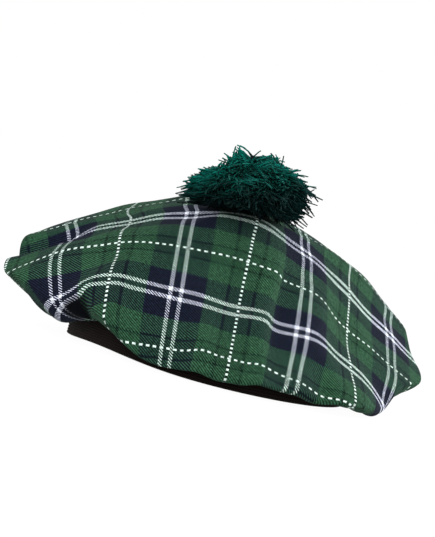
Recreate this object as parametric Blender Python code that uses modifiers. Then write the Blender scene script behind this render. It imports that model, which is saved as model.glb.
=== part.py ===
"""Tam o'shanter: a wide gathered disc of tartan twill on a ribbed headband, with a pompom.

Metres, +Z up. The hat stands on the lower edge of its headband, in the folds it takes
when worn, and the side that shows best faces -Y. The origin is under the middle of the
whole hat, and the headband's axis stands BAND_CENTRE from it.

The crown is one flat disc of cloth. A point of it is named by its place on the flat
cloth: rho, the distance from the middle, and an angle, 0 towards -Y and growing
towards +X. SECTIONS says how the cloth lies along a few of those angles, and FOLDS
lists the single folds and dents that are pressed into it.
"""
import bpy
import bmesh
import numpy as np
from math import pi
from mathutils import Vector
from mathutils.bvhtree import BVHTree

MM = 0.001
WELD = 1e-6                      # points closer than this are one

# ---- headband -----------------------------------------------------------------------
BAND_CENTRE = (0.0032, -0.0188)  # where the headband's axis stands, x and y
BAND_RADIUS = 0.0920             # outer face
BAND_HEIGHT = 0.0220
BAND_WALL = 0.0030
BAND_EDGE = 0.0008               # rounding of the edges
BAND_SIDES = 72
BAND_LIFT = 0.0035               # the lower edge is drawn up a little at the left front
BAND_LIFT_AT = -48.0             # degrees round from -Y towards +X
BAND_LIFT_SPREAD = 28.0

# ---- crown --------------------------------------------------------------------------
CLOTH = 0.0010                   # thickness of the twill
APEX = 0.1030                    # height of the cloth's middle, under the pompom
SEAM_RADIUS = 0.0924             # where the gathered edge meets the headband
SEAM_HEIGHT = 0.0185
AROUND = 96                      # columns of the mesh
CROWD = 0.42                     # how much closer the columns stand on the folded side
CROWD_AT = 22.0                  # degrees on the cloth, the middle of that side
RINGS_TOP = 15                   # rows from the middle to where the cloth turns under
RINGS_UNDER = 8                  # rows from there in to the headband
GATHERS = 24                     # pleats the edge is drawn up into
GATHER_DEPTH = 1.4               # mm
GATHER_ROOM = 20.0               # mm the underside reaches out where pleats are full
GATHER_SPAN = (0.1, 0.7, 0.8, 1.0)   # shares of the way in: begin, full, full until, end

SLOPE_RINGS = (0.0, 20.0, 60.0, 100.0, 140.0, 200.0)   # mm from the middle of the cloth
MIDDLE_SLOPE = 0.3               # part of the slope at 20 mm that the very middle has

# One row for each direction on the cloth:
#   cloth_deg  the direction on the flat cloth
#   lies_deg   the direction in which it lies on the hat
#   s20 .. s140  how steeply it falls 20, 60, 100 and 140 mm from the middle, degrees
#   turn       mm from the middle at which it begins to turn under
#   over       mm, how far the turn carries straight on
#   out, down  mm, where the underside heads for: that far outside and below the seam
SECTION_COLUMNS = ("cloth_deg", "lies_deg", "s20", "s60", "s100", "s140",
                   "turn", "over", "out", "down")
SECTIONS = (
    (-180, -180, -9, 5, 21, 36, 150, 14, 40, 12),    # back
    (-150, -152, -9, 5, 20, 33, 150, 14, 40, 14),
    (-125, -129, 1, 12, 20, 30, 150, 8, 38, 20),
    (-105, -105, 10, 21, 24, 28, 148, 6, 30, 22),    # back left lobe
    (-88, -95, 15, 23, 27, 28, 154, 6, 18, 18),
    (-76, -85, 20, 26, 28, 40, 160, 2, 8, 10),       # left lobe
    (-65, -74, 22, 26, 29, 46, 152, 4, 12, 20),
    (-53, -59, 24, 28, 42, 54, 142, 7, 14, 16),
    (-42, -47, 29, 32, 31, 54, 135, 4, 8, 2),        # pocket
    (-31, -35, 33, 39, 33, 60, 139, 5, 8, 8),        # left edge of the apron
    (-18, -19, 38, 43, 41, 60, 142, 8, 5, 16),
    (-7, -5, 40, 47, 39, 60, 141, 7, 4, 13),
    (5, 10, 40, 50, 37, 46, 142, 9, 6, 18),          # front
    (13, 20, 40, 48, 37, 46, 143, 9, 6, 11),
    (23, 34, 39, 46, 36, 42, 144, 9, 6, 18),
    (34, 49, 36, 45, 37, 36, 152, 10, 12, 18),
    (45, 62, 33, 43, 41, 42, 152, 9, 18, 24),        # right front lobe
    (56, 75, 29, 42, 44, 46, 151, 9, 20, 28),
    (67, 86, 25, 37, 39, 34, 149, 6, 16, 28),
    (78, 96, 21, 33, 36, 30, 160, 3, 14, 24),        # right tip
    (92, 110, 14, 25, 29, 32, 150, 6, 22, 24),
    (108, 122, 5, 16, 22, 33, 151, 8, 30, 20),       # back right lobe
    (125, 136, 1, 10, 20, 33, 151, 14, 40, 14),
    (150, 157, -6, 6, 19, 33, 150, 14, 40, 12),
)

# One row for each fold: where it starts and ends on the flat cloth in mm (across
# towards +X, down towards -Y), its half width, and how far it lifts the cloth. A run
# goes on over the rim, a dent ends, and a step is a crease with its left side raised.
FOLD_COLUMNS = ("name", "kind", "start_across", "start_down", "end_across",
                "end_down", "half_width", "lift")
FOLDS = (
    ("back left valley", "run", -95, 10, -170, 0, 14, -11),
    ("left pocket", "dent", -84, 95, -112, 119, 11, -18),
    ("apron edge", "run", -66, 80, -74, 136, 8, 6),
    ("apron hump", "run", -11, 98, -13, 150, 9, 5),
    ("second hump", "run", 26, 108, 28, 150, 7, 3),
    ("front crease", "step", 28, 22, 28, 120, 3, 2.8),
    ("front right ridge", "dent", 54, -10, 60, 150, 14, 4),
    ("front right valley", "run", 58, 96, 72, 150, 9, -5),
    ("right front lobe", "dent", 92, 40, 124, 128, 20, 3),
)
RUN_SET_IN = 0.5                 # share of its length over which a run sets in
DENT_SPAN = (0.0, 0.5, 0.5, 1.0)     # shares of its length: begin, full, full until, end
STEP_SPAN = (0.0, 0.3, 0.8, 1.1)
STEP_REACH = 6.5                 # half widths over which a step dies away to the sides

# ---- pompom -------------------------------------------------------------------------
POMPOM_CENTRE = (-0.002, -0.004, 0.1235)   # from the headband's axis, and up
POMPOM_CORE = (0.030, 0.030, 0.0135)       # half sizes of the solid head
POMPOM_LOCKS = (0.0405, 0.0405, 0.0210)    # half sizes out to the ends of the locks
LOCK_VARY = 0.16                 # how much the locks differ in length
LOCK_DROOP = 0.0035              # how far the outermost locks hang
LOCK_SEED = 7
BALL_SPLITS = 3                  # how finely the ball is divided before locks are drawn out
POMPOM_CLEAR = 0.0005            # gap to the crown below


def smoothstep(t):
    """Rises from 0 to 1 as t does, level at both ends."""
    t = np.clip(t, 0.0, 1.0)
    return t * t * (3.0 - 2.0 * t)


def window(t, span):
    """Rises from 0 to 1 and falls back to 0: begin, full, full until, end."""
    begin, full, until, end = span
    return smoothstep((t - begin) / (full - begin)) * (1.0 - smoothstep((t - until) / (end - until)))


def section(name):
    """One named column of SECTIONS."""
    return np.array([row[SECTION_COLUMNS.index(name)] for row in SECTIONS], float)


def round_the_cloth(values, degrees):
    """A smooth closed curve through the sections' values, read at these angles."""
    knots = section("cloth_deg")
    knots = np.concatenate([knots - 360.0, knots, knots + 360.0])
    values = np.concatenate([values, values, values])
    slopes = np.gradient(values, knots)
    left = np.clip(np.searchsorted(knots, degrees, side="right") - 1, 0, len(knots) - 2)
    span = knots[left + 1] - knots[left]
    t = (degrees - knots[left]) / span
    return ((2 * t**3 - 3 * t**2 + 1) * values[left]
            + (t**3 - 2 * t**2 + t) * span * slopes[left]
            + (3 * t**2 - 2 * t**3) * values[left + 1]
            + (t**3 - t**2) * span * slopes[left + 1])


def meridians(degrees):
    """Radius, height and cloth distance down each direction, from middle to seam."""
    turn, over, out, down = (round_the_cloth(section(n), degrees)
                             for n in ("turn", "over", "out", "down"))
    falls = [round_the_cloth(section(n), degrees) for n in ("s20", "s60", "s100", "s140")]
    falls = np.radians(np.stack([MIDDLE_SLOPE * falls[0]] + falls + [falls[3]]))

    rho = np.linspace(0.0, 1.0, RINGS_TOP + 1)[:, None] * turn[None, :]
    rings = np.array(SLOPE_RINGS)
    low = np.clip(np.searchsorted(rings, rho, side="right") - 1, 0, len(rings) - 2)
    part = (rho - rings[low]) / (rings[low + 1] - rings[low])
    column = np.arange(len(degrees))[None, :]
    fall = falls[low, column] * (1.0 - part) + falls[low + 1, column] * part
    middle = (fall[1:] + fall[:-1]) / 2.0
    steps = np.diff(rho, axis=0)
    start = np.zeros((1, len(degrees)))
    radius = np.concatenate([start, np.cumsum(steps * np.cos(middle), axis=0)])
    height = APEX / MM - np.concatenate([start, np.cumsum(steps * np.sin(middle), axis=0)])

    t = np.linspace(0.0, 1.0, RINGS_UNDER + 1)[1:, None]
    weights = ((1 - t)**3, 3 * t * (1 - t)**2, 3 * t**2 * (1 - t), t**3)
    seam_r, seam_z = SEAM_RADIUS / MM, SEAM_HEIGHT / MM
    points_r = (radius[-1], radius[-1] + over * np.cos(fall[-1]), seam_r + out, seam_r)
    points_z = (height[-1], height[-1] - over * np.sin(fall[-1]), seam_z - down, seam_z)
    under_r = sum(w * p for w, p in zip(weights, points_r))
    under_z = sum(w * p for w, p in zip(weights, points_z))
    radius = np.concatenate([radius, under_r])
    height = np.concatenate([height, under_z])
    lengths = np.hypot(np.diff(radius[RINGS_TOP:], axis=0), np.diff(height[RINGS_TOP:], axis=0))
    rho = np.concatenate([rho, rho[-1] + np.cumsum(lengths, axis=0)])
    return radius, height, rho


def fold_lift(across, down, under):
    """How far FOLDS lift each point of the cloth; under runs from 0 to 1 below the rim."""
    lift = np.zeros(across.shape)
    for row in FOLDS:
        fold = dict(zip(FOLD_COLUMNS, row))
        dx = fold["end_across"] - fold["start_across"]
        dy = fold["end_down"] - fold["start_down"]
        length = np.hypot(dx, dy)
        ax, ay = dx / length, dy / length
        x = across - fold["start_across"]
        y = down - fold["start_down"]
        along = (x * ax + y * ay) / length
        side = (y * ax - x * ay) / fold["half_width"]
        if fold["kind"] == "run":
            shape = smoothstep(along / RUN_SET_IN) * np.exp(-side**2)
        elif fold["kind"] == "dent":
            shape = window(along, DENT_SPAN) * np.exp(-side**2)
        else:
            shape = window(along, STEP_SPAN) * np.tanh(side) * np.exp(-(side / STEP_REACH)**2)
        lift += fold["lift"] * shape
    return lift * (1.0 - smoothstep(under))


def outward(points):
    """Unit normals of the cloth's outer side, on a grid of rows by closed columns."""
    down_rows = np.gradient(points, axis=0)
    wrapped = np.concatenate([points[:, -1:], points, points[:, :1]], axis=1)
    round_rows = (wrapped[:, 2:] - wrapped[:, :-2]) / 2.0
    normal = np.cross(down_rows, round_rows)
    normal[0] = (0.0, 0.0, 1.0)
    normal /= np.linalg.norm(normal, axis=2, keepdims=True)
    return normal


def crown_grid():
    """The crown's outer surface in metres, as rows from the middle out to the seam."""
    even = np.arange(AROUND) * 360.0 / AROUND - 180.0
    degrees = even - np.degrees(CROWD * np.sin(np.radians(even - CROWD_AT)))
    lies = np.radians(degrees + round_the_cloth(section("lies_deg") - section("cloth_deg"),
                                                degrees))
    radius, height, rho = meridians(degrees)
    points = np.stack([radius * np.sin(lies), -radius * np.cos(lies), height], axis=2)
    turned = np.radians(degrees)[None, :]
    across, down = rho * np.sin(turned), rho * np.cos(turned)
    under = np.zeros((RINGS_TOP + 1 + RINGS_UNDER, 1))
    under[RINGS_TOP:, 0] = np.linspace(0.0, 1.0, RINGS_UNDER + 1)
    normals = outward(points)
    rise = normals.copy()
    rise[RINGS_TOP:] = normals[RINGS_TOP - 1]
    room = np.clip(round_the_cloth(section("out"), degrees) / GATHER_ROOM, 0.0, 1.0)
    pleats = GATHER_DEPTH * room * window(under, GATHER_SPAN) * np.sin(GATHERS * turned)
    points += rise * fold_lift(across, down, under)[:, :, None]
    points += normals * pleats[:, :, None]
    points *= MM
    points += np.array([BAND_CENTRE[0], BAND_CENTRE[1], 0.0])
    return points


def material(name, colour, roughness):
    """A plain cloth material."""
    made = bpy.data.materials.new(name)
    made.use_nodes = True
    shader = made.node_tree.nodes["Principled BSDF"]
    shader.inputs["Base Color"].default_value = (*colour, 1.0)
    shader.inputs["Roughness"].default_value = roughness
    shader.inputs["Metallic"].default_value = 0.0
    return made


def add_object(name, mesh, collection, surface):
    """Puts a mesh in the scene as one named piece."""
    mesh.materials.append(surface)
    mesh.shade_smooth()
    piece = bpy.data.objects.new(name, mesh)
    collection.objects.link(piece)
    return piece


def make_crown(collection, surface):
    """The cloth, lofted through the sections and given its thickness inwards."""
    grid = crown_grid()
    rows, columns = grid.shape[:2]
    points = [tuple(grid[0].mean(axis=0))] + [tuple(p) for p in grid[1:].reshape(-1, 3)]
    after = [(c + 1) % columns for c in range(columns)]
    faces = [(0, 1 + c, 1 + after[c]) for c in range(columns)]
    for r in range(rows - 2):
        top, low = 1 + r * columns, 1 + (r + 1) * columns
        faces += [(top + c, low + c, low + after[c], top + after[c]) for c in range(columns)]
    mesh = bpy.data.meshes.new("crown")
    mesh.from_pydata(points, [], faces)
    mesh.update()
    crown = add_object("crown", mesh, collection, surface)
    wall = crown.modifiers.new("cloth", "SOLIDIFY")
    wall.thickness = CLOTH
    wall.offset = -1.0
    wall.use_even_offset = False
    return crown


def make_headband(collection, surface):
    """A turned ring of rounded rectangular section, its lower edge drawn up at one place."""
    outer, inner, e = BAND_RADIUS, BAND_RADIUS - BAND_WALL, BAND_EDGE
    middle = BAND_HEIGHT / 2.0
    profile = [(outer - e, BAND_HEIGHT), (outer, BAND_HEIGHT - e), (outer, middle),
               (outer, e), (outer - e, 0.0), (inner + e, 0.0), (inner, e),
               (inner, middle), (inner, BAND_HEIGHT - e), (inner + e, BAND_HEIGHT)]
    mesh = bpy.data.meshes.new("headband")
    shape = bmesh.new()
    corners = [shape.verts.new((r, 0.0, z)) for r, z in profile]
    edges = [shape.edges.new((corners[k], corners[(k + 1) % len(corners)]))
             for k in range(len(corners))]
    bmesh.ops.spin(shape, geom=corners + edges, cent=(0, 0, 0), axis=(0, 0, 1),
                   angle=2 * pi, steps=BAND_SIDES, use_merge=True)
    bmesh.ops.remove_doubles(shape, verts=shape.verts, dist=WELD)
    bmesh.ops.recalc_face_normals(shape, faces=shape.faces)
    for v in shape.verts:
        round_deg = np.degrees(np.arctan2(v.co.x, -v.co.y))
        share = np.exp(-((round_deg - BAND_LIFT_AT) / BAND_LIFT_SPREAD)**2)
        v.co.z += BAND_LIFT * share * (1.0 - v.co.z / BAND_HEIGHT)
    shape.to_mesh(mesh)
    shape.free()
    band = add_object("headband", mesh, collection, surface)
    band.location = (BAND_CENTRE[0], BAND_CENTRE[1], 0.0)
    return band


def make_pompom(collection, surface, crown):
    """A flattened head with a lock of yarn drawn out of each of its facets."""
    rng = np.random.default_rng(LOCK_SEED)
    shape = bmesh.new()
    bmesh.ops.create_icosphere(shape, subdivisions=BALL_SPLITS, radius=1.0)
    tips = set(bmesh.ops.poke(shape, faces=shape.faces)["verts"])
    core, reach = np.array(POMPOM_CORE), np.array(POMPOM_LOCKS)
    centre = np.array(POMPOM_CENTRE) + np.array([BAND_CENTRE[0], BAND_CENTRE[1], 0.0])
    cloth = BVHTree.FromPolygons([v.co for v in crown.data.vertices],
                                 [tuple(f.vertices) for f in crown.data.polygons])
    for v in shape.verts:
        way = np.array(v.co.normalized())
        if v in tips:
            place = way * reach * (1.0 - LOCK_VARY * rng.random())
            place[2] -= LOCK_DROOP * (np.hypot(place[0], place[1]) / reach[0])**2
        else:
            place = way * core
        above = Vector(centre + place * (1.0, 1.0, 0.0))
        under = cloth.ray_cast(above, Vector((0.0, 0.0, -1.0)))[0]
        place[2] = max(place[2], under.z + POMPOM_CLEAR - centre[2])
        v.co = Vector(place)
    mesh = bpy.data.meshes.new("pompom")
    shape.to_mesh(mesh)
    shape.free()
    pompom = add_object("pompom", mesh, collection, surface)
    pompom.location = tuple(centre)
    return pompom


def main():
    for old in list(bpy.data.objects):
        bpy.data.objects.remove(old, do_unlink=True)
    collection = bpy.data.collections.new("tam_o_shanter")
    bpy.context.scene.collection.children.link(collection)
    cloth = material("tartan_twill", (0.028, 0.085, 0.045), 0.85)
    knit = material("ribbed_knit", (0.020, 0.013, 0.012), 0.9)
    yarn = material("pompom_yarn", (0.002, 0.085, 0.062), 0.8)
    crown = make_crown(collection, cloth)
    make_headband(collection, knit)
    make_pompom(collection, yarn, crown)


main()
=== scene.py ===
"""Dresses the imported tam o'shanter: tartan crown, ribbed headband, yarn pompom and a plain stage.

Metres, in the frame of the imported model: +Z up, the side that shows best faces -Y. The
crown is one flat disc of cloth. A point of it is named by its place on the flat cloth,
across towards +X and down towards -Y from the middle, and the tartan is drawn there.
"""

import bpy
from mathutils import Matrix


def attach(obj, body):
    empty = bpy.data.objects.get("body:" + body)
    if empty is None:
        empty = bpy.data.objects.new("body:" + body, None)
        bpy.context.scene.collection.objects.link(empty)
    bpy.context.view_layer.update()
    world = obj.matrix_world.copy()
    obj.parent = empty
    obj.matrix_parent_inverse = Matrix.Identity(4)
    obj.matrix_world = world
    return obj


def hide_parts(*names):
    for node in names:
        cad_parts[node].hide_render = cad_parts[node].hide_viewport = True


bl_info = {
    "name": "Tartan tam o'shanter",
    "version": (1, 0, 0),
    "blender": (4, 5, 0),
    "location": "View3D > Sidebar > Hat",
    "description": "Makes a tartan bonnet with a ribbed headband and a yarn pompom",
    "category": "Add Mesh",
}

import bpy
import numpy as np
from bpy.props import FloatProperty, FloatVectorProperty, IntProperty, PointerProperty
from mathutils import Matrix, Vector

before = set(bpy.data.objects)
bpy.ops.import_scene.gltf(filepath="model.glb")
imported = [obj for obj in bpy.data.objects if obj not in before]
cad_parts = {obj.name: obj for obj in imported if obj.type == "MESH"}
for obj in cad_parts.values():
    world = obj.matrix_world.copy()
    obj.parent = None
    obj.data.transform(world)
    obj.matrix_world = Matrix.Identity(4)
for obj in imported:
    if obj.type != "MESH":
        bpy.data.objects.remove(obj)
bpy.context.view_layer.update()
MM = 0.001                       # metres

# ---- the crown's form, the same as the solid's -----------------------------------------
FOOT = np.array([0.0032, -0.0188, 0.0])  # foot of the headband's axis, metres
APEX = 103.0                     # mm, height of the cloth's middle
SEAM_RADIUS = 92.4               # mm, where the gathered edge meets the headband
SEAM_HEIGHT = 18.5
CROWD = 0.42                     # how much closer the columns stand on the folded side
CROWD_AT = 22.0                  # degrees on the cloth, the middle of that side
SLOPE_RINGS = (0.0, 20.0, 60.0, 100.0, 140.0, 200.0)   # mm from the middle of the cloth
MIDDLE_SLOPE = 0.3               # part of the slope at 20 mm that the very middle has
GATHER_ROOM = 20.0               # mm the underside reaches out where pleats are full
GATHER_SPAN = (0.1, 0.7, 0.8, 1.0)   # shares of the way in: begin, full, full until, end

# One row for each direction on the cloth:
#   cloth_deg  the direction on the flat cloth, 0 towards -Y and growing towards +X
#   lies_deg   the direction in which it lies on the hat
#   s20 .. s140  how steeply it falls 20, 60, 100 and 140 mm from the middle, degrees
#   turn       mm from the middle at which it begins to turn under
#   over       mm, how far the turn carries straight on
#   out, down  mm, where the underside heads for: that far outside and below the seam
SECTION_COLUMNS = ("cloth_deg", "lies_deg", "s20", "s60", "s100", "s140",
                   "turn", "over", "out", "down")
SECTIONS = (
    (-180, -180, -9, 5, 21, 36, 150, 14, 40, 12),    # back
    (-150, -152, -9, 5, 20, 33, 150, 14, 40, 14),
    (-125, -129, 1, 12, 20, 30, 150, 8, 38, 20),
    (-105, -105, 10, 21, 24, 28, 148, 6, 30, 22),    # back left lobe
    (-88, -95, 15, 23, 27, 28, 154, 6, 18, 18),
    (-76, -85, 20, 26, 28, 40, 160, 2, 8, 10),       # left lobe
    (-65, -74, 22, 26, 29, 46, 152, 4, 12, 20),
    (-53, -59, 24, 28, 42, 54, 142, 7, 14, 16),
    (-42, -47, 29, 32, 31, 54, 135, 4, 8, 2),        # pocket
    (-31, -35, 33, 39, 33, 60, 139, 5, 8, 8),        # left edge of the apron
    (-18, -19, 38, 43, 41, 60, 142, 8, 5, 16),
    (-7, -5, 40, 47, 39, 60, 141, 7, 4, 13),
    (5, 10, 40, 50, 37, 46, 142, 9, 6, 18),          # front
    (13, 20, 40, 48, 37, 46, 143, 9, 6, 11),
    (23, 34, 39, 46, 36, 42, 144, 9, 6, 18),
    (34, 49, 36, 45, 37, 36, 152, 10, 12, 18),
    (45, 62, 33, 43, 41, 42, 152, 9, 18, 24),        # right front lobe
    (56, 75, 29, 42, 44, 46, 151, 9, 20, 28),
    (67, 86, 25, 37, 39, 34, 149, 6, 16, 28),
    (78, 96, 21, 33, 36, 30, 160, 3, 14, 24),        # right tip
    (92, 110, 14, 25, 29, 32, 150, 6, 22, 24),
    (108, 122, 5, 16, 22, 33, 151, 8, 30, 20),       # back right lobe
    (125, 136, 1, 10, 20, 33, 151, 14, 40, 14),
    (150, 157, -6, 6, 19, 33, 150, 14, 40, 12),
)

# One row for each fold: where it starts and ends on the flat cloth in mm, its half
# width, and how far it lifts the cloth. A run goes on over the rim, a dent ends, and a
# step is a crease with its left side raised.
FOLD_COLUMNS = ("name", "kind", "start_across", "start_down", "end_across",
                "end_down", "half_width", "lift")
FOLDS = (
    ("back left valley", "run", -95, 10, -170, 0, 14, -11),
    ("left pocket", "dent", -84, 95, -112, 119, 11, -18),
    ("apron edge", "run", -66, 80, -74, 136, 8, 6),
    ("apron hump", "run", -11, 98, -13, 150, 9, 5),
    ("second hump", "run", 26, 108, 28, 150, 7, 3),
    ("front crease", "step", 28, 22, 28, 120, 3, 2.8),
    ("front right ridge", "dent", 54, -10, 60, 150, 14, 4),
    ("front right valley", "run", 58, 96, 72, 150, 9, -5),
    ("right front lobe", "dent", 92, 40, 124, 128, 20, 3),
)
RUN_SET_IN = 0.5                 # share of its length over which a run sets in
DENT_SPAN = (0.0, 0.5, 0.5, 1.0)     # shares of its length: begin, full, full until, end
STEP_SPAN = (0.0, 0.3, 0.8, 1.1)
STEP_REACH = 6.5                 # half widths over which a step dies away to the sides

# Low waves of the cloth: their length in mm, direction in degrees, height in mm, phase.
WAVE_COLUMNS = ("length", "heading", "height", "phase")
WAVES = (
    (61.0, 24.0, 0.45, 0.4),
    (47.0, 101.0, 0.40, 2.1),
    (33.0, 157.0, 0.25, 4.0),
    (26.0, 62.0, 0.18, 5.2),
)

# Slow sines round the gathered edge that make its pleats uneven, in place (radians) and
# in depth (a share of the full depth).
UNEVEN_COLUMNS = ("varies", "turns", "by", "phase")
UNEVEN = (
    ("place", 3, 1.3, 0.4),
    ("place", 7, 0.9, 2.0),
    ("depth", 5, 0.25, 1.0),
)
MEAN_DEPTH = 0.8                 # share of the full depth that a pleat has on average
INNER_STEP = 2                   # the inner wall has every second row of the outer one

# The print is drawn out towards the back left of the cloth: where most, over how far and
# by how much, across and down in mm on the flat cloth.
DRAWN_AT = (-52.0, -45.0)
DRAWN_OVER = (48.0, 34.0)
DRAWN = (6.0, 10.0)

# ---- the headband's form ---------------------------------------------------------------
ROWS_IN_RIB = 8                  # rows of the mesh in each rib
EDGE_FROM = 0.93                 # share of the half height up to which the walls are straight
EDGE_SHARE = 0.07                # share of it over which they round in to the edge
EDGE_DEPTH = 0.0011              # metres by which they round in
LIFT = 0.0035                    # metres, how far its lower edge is drawn up at the left front
LIFT_AT = -48.0                  # degrees round from -Y towards +X
LIFT_SPREAD = 28.0

# ---- the pompom's form -----------------------------------------------------------------
# Seen from the front, in mm from its centre: how high its tips reach.
OUTLINE_COLUMNS = ("across", "up")
TOP = (
    (-38, -9),
    (-35, -2),
    (-31, 1),
    (-25, 4),
    (-20, 6),
    (-17, 13),
    (-13, 20),
    (-9, 18),
    (-4, 11),
    (0, 17),
    (5, 18),
    (9, 20),
    (14, 17),
    (23, 13),
    (29, 11),
    (34, 9),
    (38, 0),
)
# Its underside, in the same way: how far down the lowest tips reach.
BOTTOM = (
    (-38, -13),
    (-33, -14),
    (-24, -15),
    (-13, -19),
    (-1, -19),
    (13, -16),
    (25, -15),
    (33, -11),
    (38, -5),
)
GIRTH = 0.45                     # how far up from its underside the pompom is widest
SHALLOW_LEFT = 0.45              # part of its depth that the pompom has at its left end
DEEPENS = 1.6                    # how fast it grows deeper from there, 1 for its whole width
BACK_DROP = 0.006                # metres, how much further down it reaches behind its middle
DROPS = 2.5                      # how fast it comes down there, 1 for its whole depth
LEAST_SQUARE = 0.01              # the unit ball's squared height at its ends, at least

# How the yarn is scattered: spreads as parts of the pompom's size, lengths in metres.
SEED = 11
TUFTS_FALL = 1.9                 # how far the tufts go down a unit ball from its top
TIP_SPREAD = 0.10                # of a tuft's tips
ROOT_SPREAD = 0.16               # of a tuft's roots
MEAN_REACH = 0.95                # how far out the mean tip is
TUFT_REACH = 0.04                # how unevenly far the tufts reach
STRAND_REACH = 0.08              # how unevenly far the strands of a tuft reach
STRAY_REACH = 0.22               # how much further a stray strand reaches
STRAYS_ABOVE = 0.94              # of 1, above which a strand's draw makes it a stray
BULGE = 1.08                     # how far outside the straight way its middle lies
TUFT_BEND = 0.003                # bend that a tuft's strands share
STRAND_BEND = 0.0018             # bend of each strand
STRAND_ROWS = 6                  # rings of corners along a strand
STRAND_SIDES = 3                 # corners in a ring
CLEAR = 0.0007                   # least height of a strand's middle line over the cloth
PILE = 0.003                     # how much higher the tips of strands may lie on it
TAPER = 0.35                     # part of its width that a strand loses to its tip
WIDTHS = (0.8, 1.2)              # the thinnest and the thickest strand against the mean
TUFT_TONE = 0.5                  # part of a strand's tone that is its tuft's
STRAND_TONE = 0.5                # and part that is its own
SHADOW_BLACK_FROM = 0.015               # metres under the centre at which tips begin to be painted black, a painted shadow under the pompom
SHADOW_BLACK_BY = 0.020                 # and where they are painted black

# The table of heights in which the strands look up the crown under them.
LOOKUP_STEP = 3.0                # degrees from column to column
LOOKUP_ROWS = 60                 # rows from the middle to where the cloth turns under
LOOKUP_KEPT = 40                 # rows that the pompom can reach
LOOKUP_UNDER = 2                 # rows of the underside, which aren't looked up

# ---- the tartan, the knit and the yarn -------------------------------------------------
# The two systems of threads, in mm. An even line is the middle of a navy block and an odd
# line the middle of a green one, half a repeat on.
#   block                  half width of a navy block
#   dark_at, dark_half     place and half width of the dark lines beside an odd line
#   white_at, white_half   the same of the white lines beside an even line
#   front_half             half width of the white lines at the front of the cloth
THREAD_COLUMNS = ("name", "block", "dark_at", "dark_half", "white_at", "white_half",
                  "front_half")
THREADS = (
    ("warp", 17.5, 8.8, 1.0, 3.2, 1.2, 1.2),
    ("weft", 19.3, 6.9, 0.8, 3.65, 1.85, 1.6),
)
FRONT_SPAN = (5.0, 35.0)         # mm down over which white lines take on front_half
LONGER_SPAN = (40.0, 110.0)      # mm across over which the weft's white strokes grow
LONGER = 1.35                    # how many times as long they are past it
THINNER_SPAN = (-120.0, -60.0)   # mm across over which the weft's dashes grow thin
THICKER = 2.0                    # how many times as thick they are before it
BLOCK_EDGE = 0.3                 # mm, how soft the edge of a block is
DARK_EDGE = 0.6                  # of a dark line
WHITE_EDGE = 0.25                # of a white line
DOT_EDGE = 0.3                   # of a line of dots, along it
DOT_END = 0.08                   # share of a step over which a dot or a dash ends
FLOAT_EDGE = 8.0                 # how sharply the warp's floats end
STROKE_EDGE = 20.0               # how sharply the strokes of a white line end
UNDER_DOTS = 0.9                 # how dark the ground of the dots down the cloth is
UNDER_DASHES = 0.5               # how dark the ground of the dashes across it is
RIB_THREADS = 4                  # width of a twill's rib
ROUND_LIGHT = (0.7, 1.1)         # painted shade at a thread's edge and painted light along its top
RIB_RELIEF = 0.7                 # heights that make up the cloth's relief
ROUND_RELIEF = 0.3
DOT_RELIEF = 1.3

# Soft shades where little light reaches the cloth: middle and half size on the flat
# cloth in mm, and how much of the colour is lost in the middle.
SHADE_COLUMNS = ("name", "across", "down", "wide", "high", "dark")
SHADES = (
    ("left pocket", -104, 101, 17, 12, 0.88),
    ("under the pompom", 1, -15, 29, 17, 0.93),
)
SHADE_SPAN = (0.2, 1.0)          # squared distance in half sizes over which a shade fades

STITCH = 1.3                     # mm from stitch to stitch round the headband
STREAKS_ROUND = 0.04             # worn streaks in a mm round it
STREAKS_UP = 900.0               # and in a metre of its height
WORN_MOST = 0.5                  # how much of the worn yarn's colour a streak has
STITCH_RELIEF = 0.5
STREAK_RELIEF = 0.8

ROOT_SPAN = (0.35, 0.95)         # shares of a strand over which its dark root, painted shade deep in the pompom, gives way
TWIST = 42.0                     # radians by which a strand's ply turns along it
PLY_DARK = 0.35                  # how much of the root's colour the ply's turns show

# Clouds of uneven dye: how many in a metre, and how much they lighten and darken.
FUZZ_COLUMNS = ("material", "scale", "amount")
FUZZ = (
    ("tartan_twill", 90.0, 0.12),
    ("tartan_twill", 600.0, 1.3),
    ("ribbed_knit", 300.0, 0.25),
)
FUZZ_DETAIL = 3.0

# What each material's shader has: roughness, its sheen, and its relief in metres.
FINISH_COLUMNS = ("material", "roughness", "sheen", "sheen_roughness", "sheen_tint",
                  "relief", "strength")
FINISHES = (
    ("tartan_twill", 0.85, 0.02, 0.4, (0.75, 0.9, 0.85), 0.0003, 0.5),
    ("ribbed_knit", 0.9, 0.06, 0.5, (0.9, 0.8, 0.75), 0.0003, 0.6),
    ("pompom_yarn", 0.7, 0.04, 0.35, (0.5, 1.0, 0.9), 0.0002, 0.5),
)
SPECULAR = 0.08                  # of all yarns

# ---- the stage -------------------------------------------------------------------------
# Soft boxes: where they stand, what they point at, width, height and power in watts.
LIGHT_COLUMNS = ("name", "place", "at", "width", "height", "power")
LIGHTS = (
    ("left_softbox", (-1.4, -0.2, 0.8), (0, 0, 0.05), 1.0, 1.2, 12.0),
    ("right_softbox", (1.5, 0.5, 0.7), (0, 0, 0.05), 1.0, 1.2, 29.0),
    ("front_fill", (0.1, -1.9, 0.7), (0, 0, 0.05), 1.4, 0.8, 18.0),
)
WORLD_LIGHT = 0.5                # strength of the white world on the hat
WORLD_SEEN = 1.0                 # and as the camera sees it
FLOOR_HALF = 6.0                 # metres from the floor's middle to its edge
FLOOR_DROP = 0.0002              # metres between the headband's edge and the floor
SENSOR = 36.0                    # mm, width of the camera's sensor
CLIP = (0.05, 40.0)              # metres between which the camera sees


# ---- how the forms are worked out ------------------------------------------------------
def named_rows(columns, table):
    """The rows of a table as dictionaries by its columns' names."""
    return [dict(zip(columns, row)) for row in table]


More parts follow.
